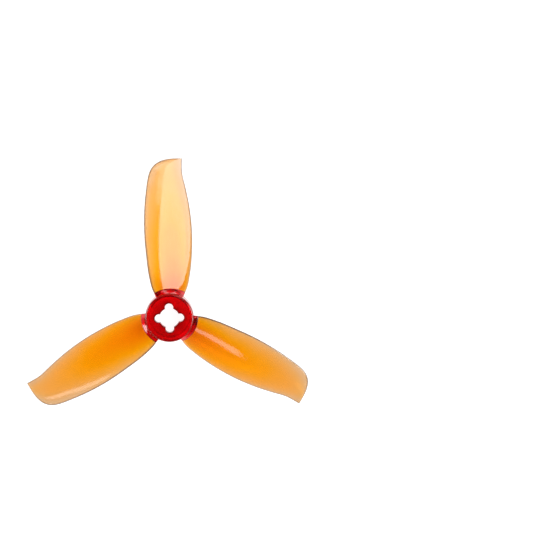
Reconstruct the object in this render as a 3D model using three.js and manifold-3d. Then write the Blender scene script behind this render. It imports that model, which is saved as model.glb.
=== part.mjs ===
// Three-blade propeller for a 3 inch model multirotor, the counter-clockwise hand.
//
// Millimetres, +Z up. The origin is on the spin axis, in the plane of the hub's underside, and +Z points
// to the side that the screw heads sit on. The four screw lobes lie at 45 degrees to +X and +Y, so the
// screw centres form a square whose sides are parallel to the axes.
//
// The real propeller is one moulding. It is split here where the moulding changes: the hub with its
// three blade collars, and the three blades.

import * as THREE from 'three';
import { mergeVertices } from 'three/addons/utils/BufferGeometryUtils.js';
import Module from 'manifold-3d';

const wasm = await Module();
wasm.setup();

// ---------------------------------------------------------------- driving dimensions

const BLADE_COUNT = 3;

const HUB_RADIUS = 5.8;
const HUB_HEIGHT = 5.5;
const HUB_TOP_ROUND = 0.4;
const HUB_FOOT_ROUND = 0.3;

const SCREW_COUNT = 4;
const SCREW_CIRCLE_RADIUS = 2.5;
const SCREW_LOBE_RADIUS = 1.0;
const CENTRE_OPENING_RADIUS = 2.4;

// The recess in the underside goes over the boss of the motor's bell and leaves the screwed plate above.
const RECESS_RADIUS = 4.9;
const SCREWED_PLATE_THICKNESS = 2.2;

const COLLAR_RADIUS = 6.9;
const COLLAR_INNER_RADIUS = 5.4;
// The collar is thicker than the blade by this much at the hub's wall, and by less at its outer face.
const COLLAR_ROOT_THICKENING = 1.1;
const COLLAR_FACE_THICKENING = 0.3;
// A collar is formed this much too long before its outer face is cut round.
const COLLAR_TRIM = 0.3;
const ROOT_GAP = 0.3;

// blade_1's axis lies this much clockwise of a screw lobe.
const BLADE_BEHIND_LOBE = THREE.MathUtils.degToRad(2);

// The blade along its own axis X, with Y towards the leading edge. Each row is one station: its distance
// from the spin axis, then the leading edge's Y, the trailing edge's Y, the leading edge's Z and the
// greatest thickness.
const BLADE_STATIONS = [
  [3.5, 2.6, -2.8, 3.6, 1.8],
  [7.2, 4.2, -4.4, 3.85, 1.6],
  [10.0, 4.85, -4.95, 4.05, 1.4],
  [15.0, 5.5, -5.45, 4.1, 1.15],
  [21.0, 5.95, -5.45, 3.85, 1.0],
  [26.5, 5.85, -4.85, 3.35, 0.9],
  [31.0, 5.4, -3.95, 2.75, 0.8],
  [34.5, 4.9, -3.15, 2.3, 0.7],
  [38.1, 4.3, -3.1, 1.95, 0.6],
];
const TRAILING_EDGE_Z = 0.45;
const CAMBER = 0.03;
const EDGE_THICKNESS_SHARE = 0.28;
const EDGE_ROUND_POWER = 24;
const THICKEST_PLACE_POWER = 0.85;

// The tip edge rounds off the leading side, from this distance outwards, and ends in the swept corner
// at the trailing side.
const TIP_ROUND_START = 31.0;
const TIP_END = 38.02;
const TIP_VANISHING_POINT = 38.05;
const TIP_ROUND_POWER = 4;
const TIP_ROUND_ROOT = 3;

const CIRCLE_SEGMENTS = 72;
const LOBE_SEGMENTS = 24;
const ROUND_SEGMENTS = 3;
const SECTION_STEPS = 15;
const SPAN_STEPS = 44;
const COLLAR_STEPS = 10;
// Cutting cylinders stand out past the faces that they cut by this much.
const CUT_MARGIN = 1;

// ---------------------------------------------------------------- solids from geometries and back

function toSolid(geometry) {
  const bare = geometry.clone();
  bare.deleteAttribute('normal');
  bare.deleteAttribute('uv');
  const merged = mergeVertices(bare);
  return new wasm.Manifold(new wasm.Mesh({
    numProp: 3,
    vertProperties: Float32Array.from(merged.attributes.position.array),
    triVerts: Uint32Array.from(merged.index.array),
  }));
}

function toGeometry(solid) {
  const mesh = solid.getMesh();
  const geometry = new THREE.BufferGeometry();
  geometry.setAttribute('position', new THREE.BufferAttribute(mesh.vertProperties, 3));
  geometry.setIndex(new THREE.BufferAttribute(mesh.triVerts, 1));
  geometry.computeVertexNormals();
  return geometry;
}

// An upright cylinder that stands from one height to another.
function uprightCylinder(radius, low, high, segments, x = 0, y = 0) {
  const cylinder = new THREE.CylinderGeometry(radius, radius, high - low, segments);
  cylinder.rotateX(Math.PI / 2);
  cylinder.translate(x, y, (low + high) / 2);
  return toSolid(cylinder);
}

// An upright cylinder that goes right through the hub and past both of its faces.
function throughCylinder(radius, segments, x = 0, y = 0) {
  return uprightCylinder(radius, -CUT_MARGIN, HUB_HEIGHT + CUT_MARGIN, segments, x, y);
}

// ---------------------------------------------------------------- the blade's form

const stationRadii = BLADE_STATIONS.map((station) => station[0]);
const stationValues = BLADE_STATIONS.flatMap((station) => station.slice(1));
const stationCurve = new THREE.CubicInterpolant(stationRadii, stationValues, 4);

// The chord that is left at a distance from the axis, as a share of the chord before the tip was rounded.
function tipShare(radius) {
  const past = Math.max(0, (radius - TIP_ROUND_START) / (TIP_VANISHING_POINT - TIP_ROUND_START));
  return (1 - past ** TIP_ROUND_POWER) ** (1 / TIP_ROUND_ROOT);
}

// Half of the section's thickness at a place along the chord, 0 at the trailing edge and 1 at the leading
// edge, as a share of half of the greatest thickness. The wall thins towards both edges, which are round.
function thicknessShare(along) {
  const edgeRound = Math.sqrt(Math.max(0, 1 - (2 * along - 1) ** EDGE_ROUND_POWER));
  const swell = Math.sin(Math.PI * along ** THICKEST_PLACE_POWER);
  return edgeRound * (EDGE_THICKNESS_SHARE + (1 - EDGE_THICKNESS_SHARE) * swell);
}

// A point of the blade's surface, from the distance along the span, the place along the chord and the
// place through the thickness, which is -1 on the pressure side and 1 on the suction side.
function bladePoint(radius, along, through, thickeningAt) {
  const [leadingY, trailingY, leadingZ, thickness] = stationCurve.evaluate(radius);
  const share = tipShare(radius);
  const trailing = new THREE.Vector2(trailingY, TRAILING_EDGE_Z);
  const leading = new THREE.Vector2(leadingY, leadingZ).lerp(trailing, 1 - share);
  const chord = leading.clone().sub(trailing);
  const normal = new THREE.Vector2(-chord.y, chord.x).normalize();
  // The mean line is a parabola, which is highest halfway along the chord.
  const camber = CAMBER * chord.length() * (1 - (2 * along - 1) ** 2);
  const middle = trailing.addScaledVector(chord, along).addScaledVector(normal, camber);
  const thickening = thickeningAt(Math.hypot(radius, middle.x));
  const half = (thickness * Math.sqrt(share) + thickening) / 2;
  const point = middle.addScaledVector(normal, half * through * thicknessShare(along));
  return new THREE.Vector3(radius, point.x, point.y);
}

// The section as a flat outline: the place along the chord against the place through the thickness.
function sectionOutline() {
  const outline = [];
  for (let step = 0; step <= SECTION_STEPS; step += 1) {
    const along = (1 - Math.cos((Math.PI * step) / SECTION_STEPS)) / 2;
    const through = step % SECTION_STEPS === 0 ? 0 : -1;
    outline.push(new THREE.Vector2(along, through));
  }
  for (let step = SECTION_STEPS - 1; step >= 1; step -= 1) {
    outline.push(new THREE.Vector2(outline[step].x, 1));
  }
  return new THREE.Shape(outline);
}

// A stretch of the blade as a closed solid: an extrusion whose every vertex is moved onto the blade.
function bladeStretch(start, end, steps, thickeningAt) {
  const geometry = new THREE.ExtrudeGeometry(sectionOutline(), { depth: 1, steps, bevelEnabled: false });
  const position = geometry.attributes.position;
  for (let i = 0; i < position.count; i += 1) {
    const along = position.getX(i);
    const through = position.getY(i);
    // Steps grow shorter towards the tip, where the outline turns fastest.
    const span = Math.sin((position.getZ(i) * Math.PI) / 2);
    const point = bladePoint(start + (end - start) * span, along, through, thickeningAt);
    position.setXYZ(i, point.x, point.y, point.z);
  }
  return toSolid(geometry);
}

// ---------------------------------------------------------------- the pieces

function hubBody() {
  const profile = new THREE.Path();
  profile.moveTo(CENTRE_OPENING_RADIUS, 0);
  profile.lineTo(HUB_RADIUS - HUB_FOOT_ROUND, 0);
  profile.absarc(HUB_RADIUS - HUB_FOOT_ROUND, HUB_FOOT_ROUND, HUB_FOOT_ROUND, -Math.PI / 2, 0);
  const topCentre = HUB_HEIGHT - HUB_TOP_ROUND;
  profile.absarc(HUB_RADIUS - HUB_TOP_ROUND, topCentre, HUB_TOP_ROUND, 0, Math.PI / 2);
  profile.lineTo(CENTRE_OPENING_RADIUS, HUB_HEIGHT);
  profile.lineTo(CENTRE_OPENING_RADIUS, 0);
  const body = new THREE.LatheGeometry(profile.getPoints(ROUND_SEGMENTS), CIRCLE_SEGMENTS);
  // A lathe turns about Y, so it is stood up.
  body.rotateX(Math.PI / 2);
  return toSolid(body);
}

function screwLobe(index) {
  const angle = Math.PI / 4 + (index * 2 * Math.PI) / SCREW_COUNT;
  const x = SCREW_CIRCLE_RADIUS * Math.cos(angle);
  const y = SCREW_CIRCLE_RADIUS * Math.sin(angle);
  return throughCylinder(SCREW_LOBE_RADIUS, LOBE_SEGMENTS, x, y);
}

function motorRecess() {
  const ceiling = HUB_HEIGHT - SCREWED_PLATE_THICKNESS;
  return uprightCylinder(RECESS_RADIUS, -CUT_MARGIN, ceiling, CIRCLE_SEGMENTS);
}

function bladeAngle(index) {
  return Math.PI / 4 - BLADE_BEHIND_LOBE + (index * 2 * Math.PI) / BLADE_COUNT;
}

// What the collar adds to the blade's thickness at a distance from the spin axis.
function collarThickening(distance) {
  const outwards = Math.max(0, (distance - HUB_RADIUS) / (COLLAR_RADIUS - HUB_RADIUS));
  return THREE.MathUtils.lerp(COLLAR_ROOT_THICKENING, COLLAR_FACE_THICKENING, outwards);
}

// The thick root that a blade grows out of, up to the collar's round outer face.
function collar(index) {
  const root = bladeStretch(stationRadii[0], COLLAR_RADIUS + COLLAR_TRIM, COLLAR_STEPS, collarThickening);
  const outside = throughCylinder(COLLAR_RADIUS, CIRCLE_SEGMENTS);
  const inside = throughCylinder(COLLAR_INNER_RADIUS, CIRCLE_SEGMENTS);
  const turn = THREE.MathUtils.radToDeg(bladeAngle(index));
  return root.intersect(outside).subtract(inside).rotate([0, 0, turn]);
}

function hubGeometry() {
  let hub = hubBody();
  for (let index = 0; index < BLADE_COUNT; index += 1) {
    hub = hub.add(collar(index));
  }
  for (let index = 0; index < SCREW_COUNT; index += 1) {
    hub = hub.subtract(screwLobe(index));
  }
  return toGeometry(hub.subtract(motorRecess()));
}

function bladeGeometry() {
  const whole = bladeStretch(stationRadii[0], TIP_END, SPAN_STEPS, () => 0);
  const hubRoom = throughCylinder(COLLAR_RADIUS + ROOT_GAP, CIRCLE_SEGMENTS);
  return toGeometry(whole.subtract(hubRoom));
}

// ---------------------------------------------------------------- the propeller

const hubPlastic = new THREE.MeshStandardMaterial({ color: 0xc40a08, roughness: 0.15, metalness: 0 });
const bladePlastic = new THREE.MeshStandardMaterial({ color: 0xf5951e, roughness: 0.15, metalness: 0 });

const propeller = new THREE.Group();

const hub = new THREE.Mesh(hubGeometry(), hubPlastic);
hub.name = 'hub';
propeller.add(hub);

for (let index = 0; index < BLADE_COUNT; index += 1) {
  const blade = new THREE.Mesh(bladeGeometry(), bladePlastic);
  blade.name = `blade_${index + 1}`;
  blade.rotation.z = bladeAngle(index);
  propeller.add(blade);
}

export default propeller;
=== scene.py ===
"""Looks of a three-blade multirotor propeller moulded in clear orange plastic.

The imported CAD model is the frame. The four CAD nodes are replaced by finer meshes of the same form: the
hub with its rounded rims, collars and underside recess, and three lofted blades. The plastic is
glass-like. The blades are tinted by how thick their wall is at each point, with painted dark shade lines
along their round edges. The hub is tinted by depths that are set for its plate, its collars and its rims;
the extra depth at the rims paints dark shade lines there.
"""

import math

import bmesh
import bpy
import numpy as np
from mathutils import Matrix, Quaternion, Vector


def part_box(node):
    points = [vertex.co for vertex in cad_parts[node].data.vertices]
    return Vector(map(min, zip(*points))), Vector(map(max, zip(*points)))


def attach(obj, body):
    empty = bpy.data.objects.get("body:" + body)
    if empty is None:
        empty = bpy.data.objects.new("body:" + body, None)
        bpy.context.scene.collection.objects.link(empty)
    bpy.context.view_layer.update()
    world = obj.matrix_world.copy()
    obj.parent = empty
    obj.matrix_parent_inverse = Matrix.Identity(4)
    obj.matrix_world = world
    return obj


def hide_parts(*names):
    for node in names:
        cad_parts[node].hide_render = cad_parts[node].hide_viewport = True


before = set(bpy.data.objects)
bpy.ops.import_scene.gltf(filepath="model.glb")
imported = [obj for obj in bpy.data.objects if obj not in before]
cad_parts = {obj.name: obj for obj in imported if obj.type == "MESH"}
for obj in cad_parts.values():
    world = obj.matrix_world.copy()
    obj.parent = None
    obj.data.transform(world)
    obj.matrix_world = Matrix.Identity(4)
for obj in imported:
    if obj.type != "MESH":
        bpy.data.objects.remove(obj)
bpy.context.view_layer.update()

MM = 0.001

# ---------------------------------------------------------------- sizes, in millimetres

hub_low, hub_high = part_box("hub")
HUB_HEIGHT = (hub_high.z - hub_low.z) / MM

HUB_RADIUS = 5.8
HUB_TOP_ROUND = 0.4
HUB_FOOT_ROUND = 0.3

SCREW_COUNT = 4
SCREW_CIRCLE_RADIUS = 2.5
SCREW_LOBE_RADIUS = 1.0
FIRST_LOBE_ANGLE = math.pi / 4
CENTRE_OPENING_RADIUS = 2.4
OPENING_RIM_ROUND = 0.15
# How softly the opening's round centre runs into its lobes.
LOBE_BLEND = 0.05

RECESS_RADIUS = 4.9
RECESS_ROUND = 0.03
SCREWED_PLATE_THICKNESS = 2.2

COLLAR_RADIUS = 6.9
COLLAR_INNER_RADIUS = 5.4
COLLAR_ROOT_THICKENING = 1.1
COLLAR_FACE_THICKENING = 0.3
COLLAR_ROUND = 0.16
# The gap between the collar's face and the blade's.
ROOT_SEAM = 0.012
# What a rounded rim leaves of the wall on either side of the mean line, at least.
LEAST_WALL_SHARE = 0.05

BLADE_COUNT = 3
BLADE_BEHIND_LOBE = math.radians(2)
FIRST_BLADE_ANGLE = FIRST_LOBE_ANGLE - BLADE_BEHIND_LOBE

# Distance from the spin axis, leading edge Y, trailing edge Y, leading edge Z, greatest thickness.
BLADE_STATIONS = (
    (3.5, 2.6, -2.8, 3.6, 1.8),
    (7.2, 4.2, -4.4, 3.85, 1.6),
    (10.0, 4.85, -4.95, 4.05, 1.4),
    (15.0, 5.5, -5.45, 4.1, 1.15),
    (21.0, 5.95, -5.45, 3.85, 1.0),
    (26.5, 5.85, -4.85, 3.35, 0.9),
    (31.0, 5.4, -3.95, 2.75, 0.8),
    (34.5, 4.9, -3.15, 2.3, 0.7),
    (38.1, 4.3, -3.1, 1.95, 0.6),
)
TRAILING_EDGE_Z = 0.45
CAMBER = 0.03
EDGE_THICKNESS_SHARE = 0.28
EDGE_ROUND_POWER = 24
THICKEST_PLACE_POWER = 0.85
TIP_ROUND_START = 31.0
TIP_END = 38.02
TIP_VANISHING_POINT = 38.05
TIP_ROUND_POWER = 4
TIP_ROUND_ROOT = 3

# How finely the meshes are divided.
SECTION_POINTS = 96
SPAN_RINGS = 150
COLLAR_RINGS = 6
HUB_TURN_STEPS = 432
ROUND_STEPS = 6
HUB_TOP_ROUND_STEPS = 12
CIRCLE_PASSES = 8

# Where the hub's top, wall, recess and opening carry points between their rounds, as shares of the way.
TOP_PLACES = (0.15, 0.2, 0.3, 0.4, 0.5, 0.6, 0.7, 0.8, 0.9)
WALL_PLACES = (6 / 8, 5 / 8, 4 / 8, 3 / 8, 2 / 8, 1 / 8)
RECESS_PLACES = (1 / 6, 2 / 6, 3 / 6, 4 / 6, 5 / 6)
OPENING_PLACES = (1 / 4, 2 / 4, 3 / 4)

# Edges sharper than this angle, in degrees, aren't smoothed.
SHARP_ANGLE = 35

# ---------------------------------------------------------------- looks and studio

PLASTIC_IOR = 1.585
TRANSMISSION = 0.95
FLOW_DETAIL = 3
RIPPLE_SCALE = 600
RIPPLE_DETAIL = 2

# The blades look paler towards their tips than their wall alone explains: from this radius to the next,
# the wall counts for less, down to this share.
TIP_FADE_START = 20.0
TIP_FADE_END = 34.0
TIP_FADE_SHARE = 0.75

# The round edges look like dark lines, most near the hub. These lines are painted shade that stands in for
# the dark room seen through the edges by refraction. Their width narrows from the first to the second, for
# the leading and the trailing edge.
EDGE_WIDTHS = ((0.26, 0.20), (0.20, 0.15))
EDGE_NARROWING_START = 9.0
EDGE_NARROWING_END = 26.0
# The distance along the blade over which the slope of its outline is taken.
SLOPE_STEP = 0.02

# The depths of plastic that the hub's tint is taken at. They are set for the looks, not measured on the
# form: one for the plate, one for the collars, and up to the rim depth more at the rims, which fades within
# the rim fade and is less on the collars. The extra depth at the rims is painted shade: dark lines that
# stand in for the dark room seen by refraction at the rounded rims.
PLATE_DEPTH = 2.2
COLLAR_DEPTH = 1.7
PAINTED_RIM_SHADE_DEPTH = 2.6
RIM_SHADE_FADE = 0.28
COLLAR_RIM_SHADE_SHARE = 0.5

# Linear tints of the plastic, each at its share of the way from the thinnest wall to the thickest.
BLADE_TINT = (
    (0.0, (0.67, 0.43, 0.22)),
    (0.07, (0.72, 0.40, 0.12)),
    (0.13, (0.74, 0.375, 0.075)),
    (0.21, (0.75, 0.355, 0.03)),
    (0.25, (0.765, 0.345, 0.012)),
    (0.30, (0.765, 0.325, 0.001)),
    (0.49, (0.75, 0.225, 0.0)),
    (0.63, (0.69, 0.155, 0.0)),
    (1.0, (0.45, 0.06, 0.0)),
)
HUB_TINT = (
    (0.0, (0.80, 0.001, 0.004)),
    (0.3, (0.55, 0.001, 0.002)),
    (0.55, (0.34, 0.001, 0.001)),
    (1.0, (0.12, 0.0, 0.0)),
)

# The painted shade of the blades' round edges: a dark line that stands in for the dark room seen through
# them by refraction.
PAINTED_EDGE_SHADE = (0.10, 0.06, 0.035, 1)

# For each plastic: the tints and the walls that they span, how far the flow marks drift the wall and how
# fine they are, the roughness between and over the flow marks, and the depth of the ripples.
BLADE_PLASTIC = {
    "stops": BLADE_TINT,
    "lowest": 0.25,
    "highest": 2.4,
    "drift_mm": 0.2,
    "grain": 220,
    "smoothest": 0.05,
    "roughest": 0.12,
    "wave_mm": 0.002,
}
HUB_PLASTIC = {
    "stops": HUB_TINT,
    "lowest": 1.4,
    "highest": 4.8,
    "drift_mm": 3.6,
    "grain": 420,
    "smoothest": 0.06,
    "roughest": 0.22,
    "wave_mm": 0.03,
}

# The soft lights: the place along the picture's right, the picture's up and the height, and the width and
# height, all in metres, then the power in watts and the turn about the light's own axis in degrees.
LIGHTS = {
    "softbox_right": ((0.405, 0.0, 0.425), (0.345, 0.5), 3.0, 8),
    "softbox_tip": ((0.13, 0.19, 0.49), (0.16, 0.14), 0.19, 0),
    "softbox_left": ((-0.45, 0.05, 0.25), (0.26, 0.28), 1.9, 0),
    "softbox_front": ((-0.147, -0.255, 0.405), (0.22, 0.055), 0.12, 0),
    "softbox_top": ((-0.199, -0.063, 0.53), (0.12, 0.035), 0.04, 105),
}

# The floor lies a little under the hub, so that the two don't share a plane. It is luminous, which washes
# out the shadows.
FLOOR_SIZE = 6.0
FLOOR_HEIGHT = -0.00002
FLOOR_GLOW = 0.95
FLOOR_COLOUR = (0.35, 0.35, 0.35, 1)
FLOOR_ROUGHNESS = 0.9
# The studio's light by the height in the sky, from level with the floor to overhead.
WORLD_LIGHT = (
    (0.0, (0.4, 0.4, 0.4)),
    (0.35, (0.12, 0.12, 0.12)),
    (0.75, (0.02, 0.02, 0.02)),
    (1.0, (0.01, 0.01, 0.01)),
)

# The camera over the hub: how far it leans along the picture's right and up for each unit of height,
# and how far the middle of the picture lies from the hub, in metres.
CAMERA_DISTANCE = 0.5
CAMERA_LEAN = (0.01, 0.125)
PICTURE_CENTRE = (0.0241, 0.0115)
PICTURE_WIDTH = 0.1292
SENSOR_WIDTH = 36.0
CLIP_START = 0.01
CLIP_END = 10

# ---------------------------------------------------------------- the blade's form


def station_values(radius):
    """Leading edge Y, trailing edge Y, leading edge Z and thickness at each distance from the axis."""
    table = np.array(BLADE_STATIONS)
    knots, values = table[:, 0], table[:, 1:]
    slopes = np.gradient(values, knots, axis=0)
    at = np.clip(np.searchsorted(knots, radius, side="right") - 1, 0, len(knots) - 2)
    width = (knots[at + 1] - knots[at])[..., None]
    t = ((radius - knots[at]) / width[..., 0])[..., None]
    before = values[at] * (1 + 2 * t) * (1 - t) ** 2 + slopes[at] * width * t * (1 - t) ** 2
    after = values[at + 1] * t**2 * (3 - 2 * t) - slopes[at + 1] * width * t**2 * (1 - t)
    return np.moveaxis(before + after, -1, 0)


def tip_share(radius):
    """The share of the chord that is left where the tip edge rounds off the leading side."""
    past = np.clip((radius - TIP_ROUND_START) / (TIP_VANISHING_POINT - TIP_ROUND_START), 0, 1)
    return (1 - past**TIP_ROUND_POWER) ** (1 / TIP_ROUND_ROOT)


def thickness_share(along):
    """The share of the greatest thickness along the chord, 0 at the trailing edge and 1 at the leading."""
    edge_round = np.sqrt(np.clip(1 - (2 * along - 1) ** EDGE_ROUND_POWER, 0, None))
    swell = np.sin(np.pi * along**THICKEST_PLACE_POWER)
    return edge_round * (EDGE_THICKNESS_SHARE + (1 - EDGE_THICKNESS_SHARE) * swell)


def blade_points(radius, along, side, thickening=0.0, inset=0.0):
    """Points of the blade along its own axis X, and the wall's thickness at each.

    side is 1 on the suction side and -1 on the pressure side. inset pulls the section in on all sides,
    but leaves a little of the wall everywhere.
    """
    leading_y, trailing_y, leading_z, thickness = station_values(radius)
    share = tip_share(radius)
    chord_y = (leading_y - trailing_y) * share
    chord_z = (leading_z - TRAILING_EDGE_Z) * share
    chord = np.hypot(chord_y, chord_z)
    pulled = inset / chord + along * (1 - 2 * inset / chord)
    wall = (thickness * np.sqrt(share) + thickening) * thickness_share(along)
    half_wall = np.maximum(wall / 2 - inset, LEAST_WALL_SHARE * wall)
    offset = CAMBER * chord * (1 - (2 * along - 1) ** 2) + side * half_wall
    y = trailing_y + chord_y * pulled - offset * chord_z / chord
    z = TRAILING_EDGE_Z + chord_z * pulled + offset * chord_y / chord
    return np.stack([radius + 0 * y, y, z], axis=-1), wall


def section_loop():
    """Once round the section: the place along the chord, and the side, 0 at the two edges."""
    step = np.arange(SECTION_POINTS)
    along = (1 - np.cos(2 * np.pi * step / SECTION_POINTS)) / 2
    half_way = SECTION_POINTS // 2
    side = np.where(step % half_way == 0, 0.0, np.where(step < half_way, 1.0, -1.0))
    return along, side


def distance_on_circle(circle, along, side, thickening=0.0, inset=0.0):
    """How far out along X each point of the section meets an upright cylinder about the spin axis."""
    x = np.full_like(along, circle)
    for _ in range(CIRCLE_PASSES):
        points, _wall = blade_points(x, along, side, thickening, inset)
        x = np.sqrt(circle**2 - points[:, 1] ** 2)
    return x


# ---------------------------------------------------------------- meshes


def face_outwards(mesh):
    """Turns every face of a closed mesh outwards, so that light knows plastic from air."""
    shell = bmesh.new()
    shell.from_mesh(mesh)
    bmesh.ops.recalc_face_normals(shell, faces=shell.faces)
    shell.to_mesh(mesh)
    shell.free()


def store(mesh, attribute, values):
    """Keeps one number for each point of a mesh."""
    mesh.attributes.new(attribute, "FLOAT", "POINT").data.foreach_set("value", np.asarray(values, float))


def mesh_object(name, vertices, faces):
    """An object from points in millimetres."""
    mesh = bpy.data.meshes.new(name)
    mesh.from_pydata((np.asarray(vertices) * MM).tolist(), [], faces)
    face_outwards(mesh)
    piece = bpy.data.objects.new(name, mesh)
    bpy.context.scene.collection.objects.link(piece)
    mesh.shade_smooth()
    mesh.set_sharp_from_angle(angle=math.radians(SHARP_ANGLE))
    return piece


def loft_faces(rings, points):
    """Quads between closed rings of points, with a cap at either end."""
    faces = []
    for ring in range(rings - 1):
        for i in range(points):
            a, b = ring * points + i, ring * points + (i + 1) % points
            faces.append((a, b, b + points, a + points))
    faces += cap_faces(0, points, False)
    faces += cap_faces((rings - 1) * points, points, True)
    return faces


def cap_faces(first, points, outward):
    """Closes a section ring with quads between its suction side and its pressure side."""
    faces = []
    for i in range(points // 2):
        upper_a, upper_b = first + i, first + i + 1
        lower_a, lower_b = first + (points - i) % points, first + points - i - 1
        corners = [upper_a, upper_b, lower_b, lower_a]
        face = [c for k, c in enumerate(corners) if c not in corners[:k]]
        faces.append(tuple(face if outward else face[::-1]))
    return faces


def turned(vertices, angle):
    """The points turned about the spin axis."""
    c, s = math.cos(angle), math.sin(angle)
    return vertices @ np.array([[c, s, 0], [-s, c, 0], [0, 0, 1]])


def blade_angle(index):
    """The direction of a blade's axis, from +X."""
    return FIRST_BLADE_ANGLE + index * 2 * math.pi / BLADE_COUNT


def counted_wall(radius, wall):
    """How thick the blade's wall counts for its colour."""
    return wall * np.interp(radius, (TIP_FADE_START, TIP_FADE_END), (1, TIP_FADE_SHARE))


def outline(radius):
    """Y of the leading edge, with the tip rounded off, and Y of the trailing edge."""
    leading_y, trailing_y = station_values(radius)[:2]
    return trailing_y + (leading_y - trailing_y) * tip_share(radius), trailing_y


def painted_edge_shade_share(radius, along):
    """How much of the painted dark edge shade each point of the section takes on, from 0 to 1."""
    leading_y, trailing_y = outline(radius)
    slope = (leading_y - outline(radius - SLOPE_STEP)[0]) / SLOPE_STEP
    from_leading = (1 - along) * (leading_y - trailing_y) / np.hypot(1, slope)
    from_trailing = along * (leading_y - trailing_y)
    share = np.zeros_like(along)
    for distance, widths in zip((from_leading, from_trailing), EDGE_WIDTHS):
        width = np.interp(radius, (EDGE_NARROWING_START, EDGE_NARROWING_END), widths)
        share = np.maximum(share, np.exp(-((distance / width) ** 2)))
    return share


def make_blade(index):
    """One blade, lofted from the collar's round face to the swept tip corner."""
    along, side = section_loop()
    start = distance_on_circle(COLLAR_RADIUS + ROOT_SEAM, along, side)
    points, walls, edges = [], [], []
    for ring in range(SPAN_RINGS):
        # Rings lie closer together towards the tip, where the outline turns fastest.
        span = math.sin(math.pi / 2 * ring / (SPAN_RINGS - 1))
        radius = start + (TIP_END - start) * span
        at, wall = blade_points(radius, along, side)
        points.append(at)
        walls.append(counted_wall(radius, wall))
        edges.append(painted_edge_shade_share(radius, along))
    vertices = turned(np.concatenate(points), blade_angle(index))
    blade = mesh_object(f"moulded_blade_{index + 1}", vertices, loft_faces(SPAN_RINGS, SECTION_POINTS))
    store(blade.data, "wall_mm", np.concatenate(walls))
    store(blade.data, "painted_edge_shade_share", np.concatenate(edges))
    return blade


def collar_mesh(index):
    """The thick root of one blade, with its outer rim rounded over."""
    along, side = section_loop()
    circles = np.linspace(COLLAR_INNER_RADIUS, COLLAR_RADIUS - COLLAR_ROUND, COLLAR_RINGS)
    rings = [(circle, 0.0) for circle in circles]
    for step in range(ROUND_STEPS):
        turn = math.pi / 2 * (step + 1) / ROUND_STEPS
        circle = COLLAR_RADIUS - COLLAR_ROUND * (1 - math.sin(turn))
        rings.append((circle, COLLAR_ROUND * (1 - math.cos(turn))))
    points = []
    for circle, inset in rings:
        outwards = max(0.0, (circle - HUB_RADIUS) / (COLLAR_RADIUS - HUB_RADIUS))
        thickening = COLLAR_ROOT_THICKENING + (COLLAR_FACE_THICKENING - COLLAR_ROOT_THICKENING) * outwards
        start = distance_on_circle(circle, along, side, thickening, inset)
        at, _wall = blade_points(start, along, side, thickening, inset)
        points.append(at)
    vertices = turned(np.concatenate(points), blade_angle(index))
    return mesh_object(f"collar_{index + 1}", vertices, loft_faces(len(rings), SECTION_POINTS))


def opening_radius(angle):
    """The four-lobed opening's edge: a round centre blended into the nearest screw lobe."""
    step = 2 * np.pi / SCREW_COUNT
    off = (angle - FIRST_LOBE_ANGLE + step / 2) % step - step / 2
    inside = np.clip(SCREW_LOBE_RADIUS**2 - (SCREW_CIRCLE_RADIUS * np.sin(off)) ** 2, 0, None)
    lobe = np.where(inside > 0, SCREW_CIRCLE_RADIUS * np.cos(off) + np.sqrt(inside), 0)
    return CENTRE_OPENING_RADIUS + LOBE_BLEND * np.logaddexp(0, (lobe - CENTRE_OPENING_RADIUS) / LOBE_BLEND)


def arc(centre_r, centre_z, radius, start, end, steps=ROUND_STEPS):
    """Points of a rounded edge in the plane of radius and height, between two angles in degrees."""
    turn = np.radians(np.linspace(start, end, steps))
    return np.stack([centre_r + radius * np.cos(turn), centre_z + radius * np.sin(turn)], axis=1)


def hub_profile(inner):
    """The hub's section, once round: out along the top, down, in along the underside, up the opening."""
    rim, top, foot, soft = OPENING_RIM_ROUND, HUB_TOP_ROUND, HUB_FOOT_ROUND, RECESS_ROUND
    high, ceiling = HUB_HEIGHT, HUB_HEIGHT - SCREWED_PLATE_THICKNESS
    parts = [
        arc(inner + rim, high - rim, rim, 180, 90),
        [(inner + (HUB_RADIUS - top - inner) * place, high) for place in TOP_PLACES],
        arc(HUB_RADIUS - top, high - top, top, 90, 0, HUB_TOP_ROUND_STEPS),
        [(HUB_RADIUS, high * place) for place in WALL_PLACES],
        arc(HUB_RADIUS - foot, foot, foot, 0, -90),
        arc(RECESS_RADIUS + foot, foot, foot, -90, -180),
        [(RECESS_RADIUS, ceiling * place) for place in RECESS_PLACES],
        arc(RECESS_RADIUS - soft, ceiling - soft, soft, 0, 90),
        arc(inner + rim, ceiling + rim, rim, -90, -180),
        [(inner, ceiling + SCREWED_PLATE_THICKNESS * place) for place in OPENING_PLACES],
    ]
    return np.concatenate([np.asarray(part, float) for part in parts])


def make_hub():
    """The hub: a cup on its rim, with a lobed opening through its plate."""
    angles = 2 * np.pi * np.arange(HUB_TURN_STEPS) / HUB_TURN_STEPS
    rings = []
    for angle in angles:
        profile = hub_profile(float(opening_radius(angle)))
        r, z = profile[:, 0], profile[:, 1]
        rings.append(np.stack([r * math.cos(angle), r * math.sin(angle), z], axis=1))
    points = len(rings[0])
    faces = []
    for ring in range(HUB_TURN_STEPS):
        after = (ring + 1) % HUB_TURN_STEPS
        for i in range(points):
            j = (i + 1) % points
            faces.append((ring * points + i, ring * points + j, after * points + j, after * points + i))
    return mesh_object("moulded_hub", np.concatenate(rings), faces)


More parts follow.
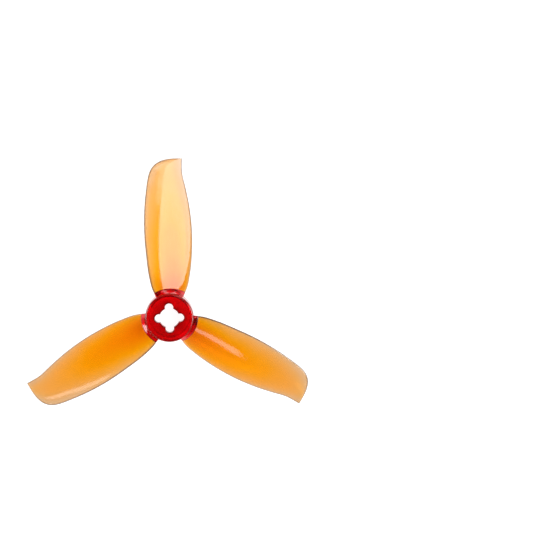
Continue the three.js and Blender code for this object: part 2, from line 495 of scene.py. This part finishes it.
def join(base, others):
    """Joins closed meshes into one closed mesh and removes the others."""
    for other in others:
        modifier = base.modifiers.new("join", "BOOLEAN")
        modifier.operation = "UNION"
        modifier.solver = "EXACT"
        modifier.object = other
    depsgraph = bpy.context.evaluated_depsgraph_get()
    joined = bpy.data.meshes.new_from_object(base.evaluated_get(depsgraph))
    base.modifiers.clear()
    base.data = joined
    for other in others:
        bpy.data.objects.remove(other)
    joined.set_sharp_from_angle(angle=math.radians(SHARP_ANGLE))
    return base


def store_hub_depth_and_rim_shade(hub):
    """Stores the depths that set the hub's tint: the plate's, the collars' and more at the rims, which
    paints dark shade lines along them.
    """
    mesh = hub.data
    flat = np.empty(len(mesh.vertices) * 3)
    mesh.vertices.foreach_get("co", flat)
    x, y, z = flat.reshape(-1, 3).T / MM
    radius = np.hypot(x, y)
    # The rims get more depth. This paints dark shade lines along the opening, the disc's rim and the
    # collars' rims.
    shade_at_opening = np.exp(-(((radius - opening_radius(np.arctan2(y, x))) / RIM_SHADE_FADE) ** 2))
    shade_at_disc_rim = np.exp(-(((radius - HUB_RADIUS) / RIM_SHADE_FADE) ** 2)) * (z > HUB_HEIGHT - HUB_TOP_ROUND)
    shade_at_collar_rim = COLLAR_RIM_SHADE_SHARE * np.exp(-(((radius - COLLAR_RADIUS) / RIM_SHADE_FADE) ** 2))
    body = np.where(radius > HUB_RADIUS + RIM_SHADE_FADE, COLLAR_DEPTH, PLATE_DEPTH)
    depth = body + PAINTED_RIM_SHADE_DEPTH * np.maximum(np.maximum(shade_at_opening, shade_at_disc_rim), shade_at_collar_rim)
    store(mesh, "wall_mm", depth)


# ---------------------------------------------------------------- materials


def ramp(nodes, stops):
    """A colour ramp node with the given stops, each a place and a linear colour."""
    node = nodes.new("ShaderNodeValToRGB")
    elements = node.color_ramp.elements
    elements[0].position, elements[0].color = stops[0][0], (*stops[0][1], 1)
    elements[1].position, elements[1].color = stops[-1][0], (*stops[-1][1], 1)
    for place, colour in stops[1:-1]:
        elements.new(place).color = (*colour, 1)
    return node


def clear_plastic(name, stops, lowest, highest, drift_mm, grain, smoothest, roughest, wave_mm):
    """Clear moulded plastic: glass-like, its tint set by the stored thickness, with painted dark shade
    lines along the blades' round edges and faint flow marks.
    """
    material = bpy.data.materials.new(name)
    material.use_nodes = True
    nodes, links = material.node_tree.nodes, material.node_tree.links
    nodes.clear()
    output = nodes.new("ShaderNodeOutputMaterial")
    plastic = nodes.new("ShaderNodeBsdfPrincipled")
    plastic.inputs["IOR"].default_value = PLASTIC_IOR
    plastic.inputs["Transmission Weight"].default_value = TRANSMISSION
    place = nodes.new("ShaderNodeTexCoord").outputs["Object"]

    wall = nodes.new("ShaderNodeAttribute")
    wall.attribute_name = "wall_mm"
    flow = nodes.new("ShaderNodeTexNoise")
    flow.inputs["Scale"].default_value = grain
    flow.inputs["Detail"].default_value = FLOW_DETAIL
    links.new(place, flow.inputs["Vector"])
    # The noise runs from 0 to 1, so half of it is taken off for a drift to both sides.
    centred = nodes.new("ShaderNodeMath")
    centred.operation = "SUBTRACT"
    centred.inputs[1].default_value = 0.5
    links.new(flow.outputs["Fac"], centred.inputs[0])
    drift = nodes.new("ShaderNodeMath")
    drift.operation = "MULTIPLY_ADD"
    drift.inputs[1].default_value = drift_mm
    links.new(centred.outputs[0], drift.inputs[0])
    links.new(wall.outputs["Fac"], drift.inputs[2])
    span = nodes.new("ShaderNodeMapRange")
    span.inputs["From Min"].default_value = lowest
    span.inputs["From Max"].default_value = highest
    links.new(drift.outputs[0], span.inputs["Value"])
    tint = ramp(nodes, stops)
    links.new(span.outputs["Result"], tint.inputs["Fac"])
    # The painted dark edge lines are mixed over the tint here. They are shade that stands in for the dark
    # room seen by refraction at the round edges.
    edge = nodes.new("ShaderNodeAttribute")
    edge.attribute_name = "painted_edge_shade_share"
    tint_with_edge_shade = nodes.new("ShaderNodeMixRGB")
    tint_with_edge_shade.inputs["Color2"].default_value = PAINTED_EDGE_SHADE
    links.new(edge.outputs["Fac"], tint_with_edge_shade.inputs["Fac"])
    links.new(tint.outputs["Color"], tint_with_edge_shade.inputs["Color1"])
    links.new(tint_with_edge_shade.outputs["Color"], plastic.inputs["Base Color"])

    haze = nodes.new("ShaderNodeMapRange")
    haze.inputs["To Min"].default_value = smoothest
    haze.inputs["To Max"].default_value = roughest
    links.new(flow.outputs["Fac"], haze.inputs["Value"])
    links.new(haze.outputs["Result"], plastic.inputs["Roughness"])

    ripple = nodes.new("ShaderNodeTexNoise")
    ripple.inputs["Scale"].default_value = RIPPLE_SCALE
    ripple.inputs["Detail"].default_value = RIPPLE_DETAIL
    links.new(place, ripple.inputs["Vector"])
    bump = nodes.new("ShaderNodeBump")
    bump.inputs["Distance"].default_value = wave_mm * MM
    links.new(ripple.outputs["Fac"], bump.inputs["Height"])
    links.new(bump.outputs["Normal"], plastic.inputs["Normal"])

    lamps_through = nodes.new("ShaderNodeBsdfTransparent")
    links.new(tint_with_edge_shade.outputs["Color"], lamps_through.inputs["Color"])
    ray = nodes.new("ShaderNodeLightPath")
    mix = nodes.new("ShaderNodeMixShader")
    links.new(ray.outputs["Is Shadow Ray"], mix.inputs["Fac"])
    links.new(plastic.outputs["BSDF"], mix.inputs[1])
    links.new(lamps_through.outputs["BSDF"], mix.inputs[2])
    links.new(mix.outputs["Shader"], output.inputs["Surface"])
    return material


def floor_material():
    """Pale studio floor, a little luminous so that it washes out the shadows."""
    material = bpy.data.materials.new("studio_floor")
    material.use_nodes = True
    nodes = material.node_tree.nodes
    floor = nodes["Principled BSDF"]
    floor.inputs["Base Color"].default_value = FLOOR_COLOUR
    floor.inputs["Roughness"].default_value = FLOOR_ROUGHNESS
    floor.inputs["Specular IOR Level"].default_value = 0
    floor.inputs["Emission Color"].default_value = (1, 1, 1, 1)
    floor.inputs["Emission Strength"].default_value = FLOOR_GLOW
    return material


# ---------------------------------------------------------------- the object

blade_plastic = clear_plastic("clear_orange_plastic", **BLADE_PLASTIC)
hub_plastic = clear_plastic("clear_orange_plastic_thick", **HUB_PLASTIC)

for index in range(BLADE_COUNT):
    blade = make_blade(index)
    blade.data.materials.append(blade_plastic)
    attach(blade, "root")
    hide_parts(f"blade_{index + 1}")

hub = join(make_hub(), [collar_mesh(index) for index in range(BLADE_COUNT)])
store_hub_depth_and_rim_shade(hub)
hub.data.materials.append(hub_plastic)
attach(hub, "root")
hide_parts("hub")

# ---------------------------------------------------------------- studio

# The picture's axes in the row frame: blade_1 points up in the picture.
picture_up = Vector((math.cos(FIRST_BLADE_ANGLE), math.sin(FIRST_BLADE_ANGLE), 0))
picture_right = Vector((picture_up.y, -picture_up.x, 0))


def in_studio(right, up, height):
    """A point given along the picture's right, the picture's up and the height, in metres."""
    return picture_right * right + picture_up * up + Vector((0, 0, height))


def make_floor():
    """The plain floor that the propeller lies on."""
    mesh = bpy.data.meshes.new("studio_floor")
    half = FLOOR_SIZE / 2
    corners = [(-half, -half), (half, -half), (half, half), (-half, half)]
    mesh.from_pydata([(x, y, FLOOR_HEIGHT) for x, y in corners], [], [(0, 1, 2, 3)])
    floor = bpy.data.objects.new("studio_floor", mesh)
    bpy.context.scene.collection.objects.link(floor)
    mesh.materials.append(floor_material())


def softbox(name, place, width, height, power, roll):
    """A rectangular soft light that faces the propeller, turned about its own axis by the roll."""
    light = bpy.data.lights.new(name, "AREA")
    light.shape = "RECTANGLE"
    light.size = width
    light.size_y = height
    light.energy = power
    lamp = bpy.data.objects.new(name, light)
    bpy.context.scene.collection.objects.link(lamp)
    lamp.location = place
    facing = (-place).to_track_quat("-Z", "Y") @ Quaternion((0, 0, 1), math.radians(roll))
    lamp.rotation_euler = facing.to_euler()
    lamp.visible_camera = False


def make_world():
    """The light of the room, which fades from level with the floor to overhead."""
    world = bpy.data.worlds.new("studio")
    world.use_nodes = True
    nodes, links = world.node_tree.nodes, world.node_tree.links
    height = nodes.new("ShaderNodeSeparateXYZ")
    links.new(nodes.new("ShaderNodeTexCoord").outputs["Generated"], height.inputs["Vector"])
    sky = ramp(nodes, WORLD_LIGHT)
    links.new(height.outputs["Z"], sky.inputs["Fac"])
    links.new(sky.outputs["Color"], nodes["Background"].inputs["Color"])
    bpy.context.scene.world = world


def make_camera():
    """A long lens over the propeller, tilted a little towards the picture's top."""
    data = bpy.data.cameras.new("camera")
    camera = bpy.data.objects.new("camera", data)
    bpy.context.scene.collection.objects.link(camera)
    hub_face = Vector((0, 0, hub_high.z))
    camera.location = hub_face + in_studio(*CAMERA_LEAN, 1) * CAMERA_DISTANCE
    aim = hub_face + in_studio(*PICTURE_CENTRE, 0)
    back = (camera.location - aim).normalized()
    right = picture_up.cross(back).normalized()
    up = back.cross(right)
    camera.matrix_world = Matrix(
        (
            (right.x, up.x, back.x, camera.location.x),
            (right.y, up.y, back.y, camera.location.y),
            (right.z, up.z, back.z, camera.location.z),
            (0, 0, 0, 1),
        )
    )
    data.sensor_width = SENSOR_WIDTH
    data.lens = SENSOR_WIDTH * (camera.location - aim).length / PICTURE_WIDTH
    data.clip_start = CLIP_START
    data.clip_end = CLIP_END
    bpy.context.scene.camera = camera


make_floor()
for name, (place, size, power, roll) in LIGHTS.items():
    softbox(name, in_studio(*place), *size, power, roll)
make_world()
make_camera()
bpy.context.scene.view_settings.view_transform = "Standard"
